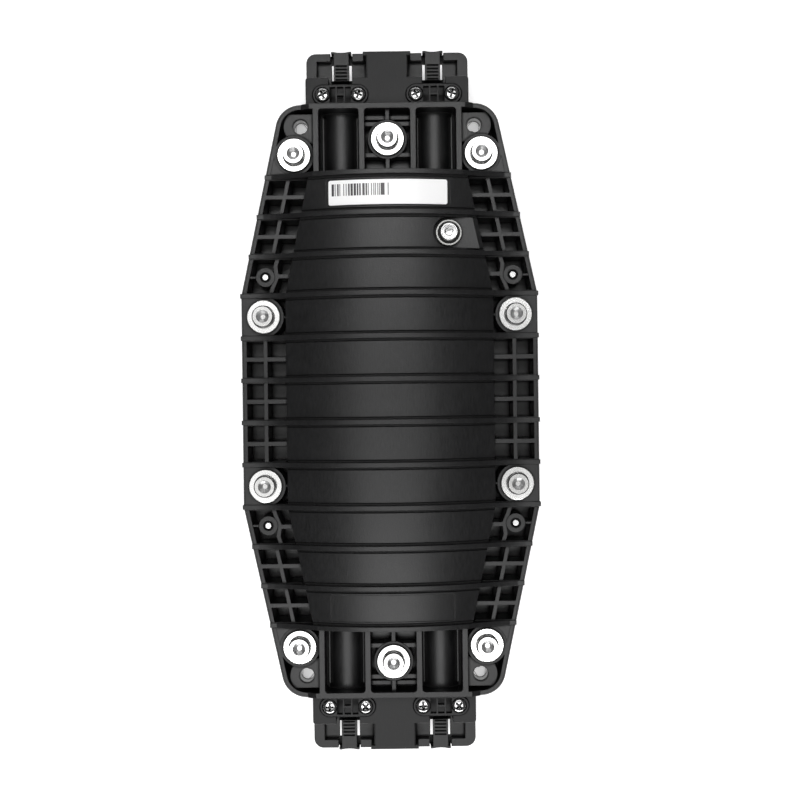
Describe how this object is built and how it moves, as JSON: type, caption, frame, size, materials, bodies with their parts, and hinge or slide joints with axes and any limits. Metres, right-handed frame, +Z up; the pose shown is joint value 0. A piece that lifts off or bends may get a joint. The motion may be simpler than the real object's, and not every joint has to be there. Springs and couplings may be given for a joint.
{
  "type": "inline fibre splice closure",
  "caption": "Long flat bolted clamshell closure with ribbed halves, cable ports and clamp brackets at both ends, and splice trays inside",
  "frame": {"origin": "centre of the bounding box's underside, on the surface that the closure lies on", "axes": "+Y along the closure toward the end with the label, +X across it, +Z up out of the half with the valve"},
  "size_m": [0.18, 0.44, 0.0745],
  "materials": {
    "shell": "moulded, fine grain",
    "bracket": "moulded, fine grain",
    "seal": "smooth",
    "steel": "turned and plated",
    "brass": "machined",
    "bright": "bright plated",
    "label": "white film",
    "tray": "light moulded plastic",
    "lid": "clear sheet",
    "strap": "woven"
  },
  "bodies": {
    "housing": {"upper_shell": "shell", "lower_shell": "shell", "shell_gasket": "seal", "shell_bolts": "steel", "flat_washers": "steel", "threaded_inserts": "brass", "corner_bushes": "steel", "locating_pins": "bright", "cable_grommets": "seal", "bracket_cover_top": "bracket", "bracket_cover_bottom": "bracket", "cable_saddles": "bracket", "saddle_screws": "steel", "saddle_nuts": "steel", "valve_body": "bright", "valve_nut": "bright", "valve_seal": "seal", "valve_spring": "steel", "label": "label", "tray_frame": "tray", "frame_screws": "steel", "strength_clamps": "tray", "clamp_screws": "steel", "splice_tray_lower": "tray", "splice_tray_upper": "tray", "splice_holders": "tray", "tray_lid": "lid", "tray_strap": "strap"},
    "valve_cap": {"valve_cap": "bright"},
    "valve_pin": {"valve_pin": "brass"}
  },
  "joints": [
    {"name": "valve_cap_lift", "type": "slide", "parent": "housing", "child": "valve_cap", "axis": [0, 0, 1], "range_m": [0, 0.012]},
    {"name": "valve_pin_press", "type": "slide", "parent": "housing", "child": "valve_pin", "axis": [0, 0, -1], "range_m": [0, 0.0015], "stiffness_N_per_m": 200, "springref_m": -0.001, "deforming": ["valve_spring"]}
  ]
}
